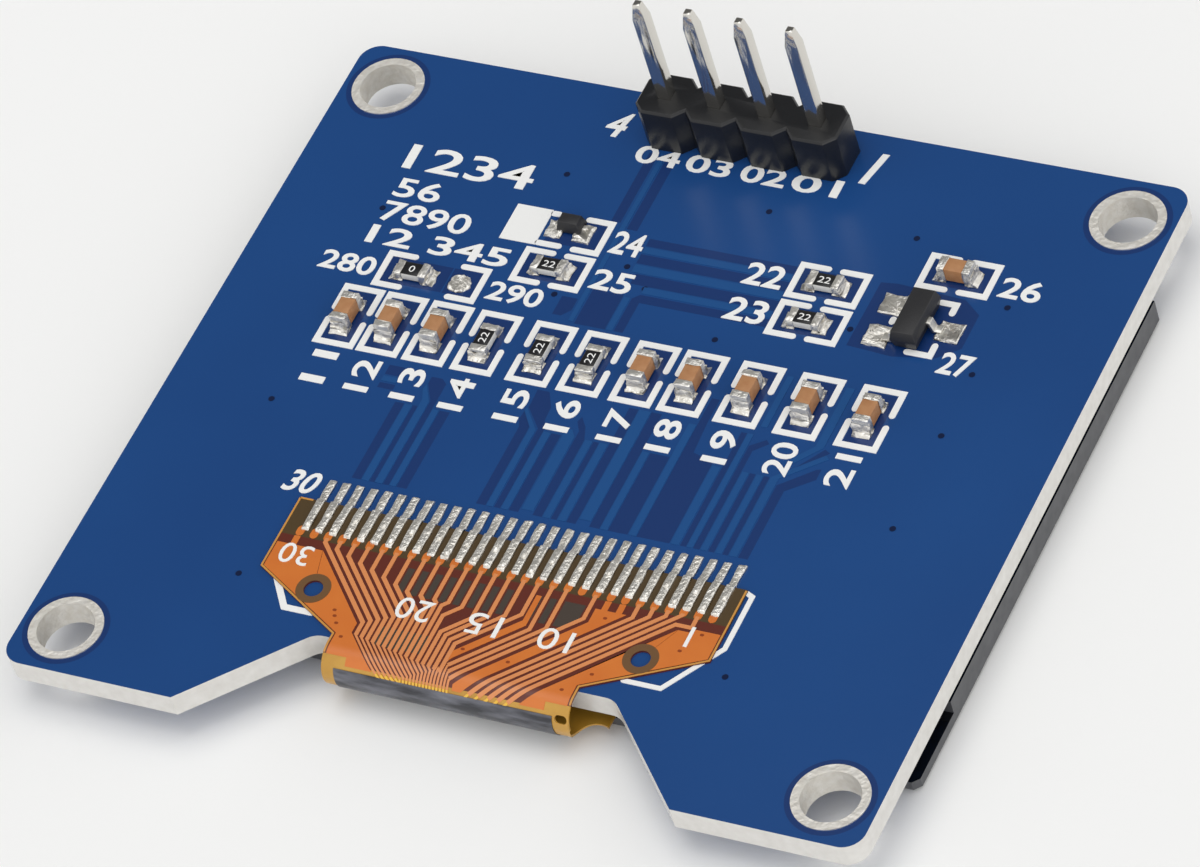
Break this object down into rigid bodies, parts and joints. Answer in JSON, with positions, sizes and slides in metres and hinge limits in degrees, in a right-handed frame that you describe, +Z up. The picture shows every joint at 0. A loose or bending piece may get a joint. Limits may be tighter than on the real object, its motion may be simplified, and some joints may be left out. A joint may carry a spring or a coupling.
{
  "type": "small oled display module",
  "caption": "Small OLED display module: notched circuit board with a pin header and chips, glass panel taped underneath, and a flexible tail folded round the notch.",
  "frame": {"origin": "under the middle of the board, on the plane of the display's front face, on which it lies", "axes": "+X along the board's width and the row of header pins, +Y towards the header's edge, +Z up from the display's front face to the board's component side"},
  "size_m": [0.042, 0.038, 0.0114],
  "materials": {
    "solder_mask": "blue solder mask over fibreglass laminate, semi-gloss",
    "header_plastic": "black moulded plastic, slightly rough",
    "solder": "reflowed solder, bright and bumpy",
    "polariser_film": "smooth dark polarising film",
    "panel_glass": "polished sheet glass over a dark inner layer",
    "silicon": "polished silicon",
    "foam_tape": "black foam tape",
    "polyimide": "orange polyimide film with copper traces inside",
    "flexible_coating": "dark grey coating, streaked, semi-matte",
    "tinned_copper": "tinned copper, uneven satin",
    "plated_brass": "tin-plated square brass wire, bright",
    "tinned_ends": "tinned end caps, satin",
    "capacitor_ceramic": "brown fired ceramic, satin",
    "resistor_ceramic": "black glaze over a white ceramic body",
    "moulding_compound": "black epoxy moulding compound, fine grain"
  },
  "bodies": {
    "root": {"adhesive_tape": "foam_tape", "cap_glass": "panel_glass", "capacitor_1_body": "capacitor_ceramic", "capacitor_1_ends": "tinned_ends", "capacitor_2_body": "capacitor_ceramic", "capacitor_2_ends": "tinned_ends", "capacitor_3_body": "capacitor_ceramic", "capacitor_3_ends": "tinned_ends", "capacitor_4_body": "capacitor_ceramic", "capacitor_4_ends": "tinned_ends", "capacitor_5_body": "capacitor_ceramic", "capacitor_5_ends": "tinned_ends", "capacitor_6_body": "capacitor_ceramic", "capacitor_6_ends": "tinned_ends", "capacitor_7_body": "capacitor_ceramic", "capacitor_7_ends": "tinned_ends", "capacitor_8_body": "capacitor_ceramic", "capacitor_8_ends": "tinned_ends", "capacitor_9_body": "capacitor_ceramic", "capacitor_9_ends": "tinned_ends", "chip_solder": "solder", "circuit_board": "solder_mask", "diode_body": "moulding_compound", "diode_leads": "tinned_copper", "driver_die": "silicon", "flex_tail": "polyimide", "fold_coating": "flexible_coating", "front_glass": "panel_glass", "header_pin_1": "plated_brass", "header_pin_2": "plated_brass", "header_pin_3": "plated_brass", "header_pin_4": "plated_brass", "header_solder": "solder", "header_strip": "header_plastic", "plated_hole_1": "tinned_copper", "plated_hole_2": "tinned_copper", "plated_hole_3": "tinned_copper", "plated_hole_4": "tinned_copper", "polariser_film": "polariser_film", "regulator_body": "moulding_compound", "regulator_leads": "tinned_copper", "resistor_1_body": "resistor_ceramic", "resistor_1_ends": "tinned_ends", "resistor_2_body": "resistor_ceramic", "resistor_2_ends": "tinned_ends", "resistor_3_body": "resistor_ceramic", "resistor_3_ends": "tinned_ends", "resistor_4_body": "resistor_ceramic", "resistor_4_ends": "tinned_ends", "resistor_5_body": "resistor_ceramic", "resistor_5_ends": "tinned_ends", "resistor_6_body": "resistor_ceramic", "resistor_6_ends": "tinned_ends", "resistor_7_body": "resistor_ceramic", "resistor_7_ends": "tinned_ends", "tail_solder": "solder"}
  },
  "joints": []
}
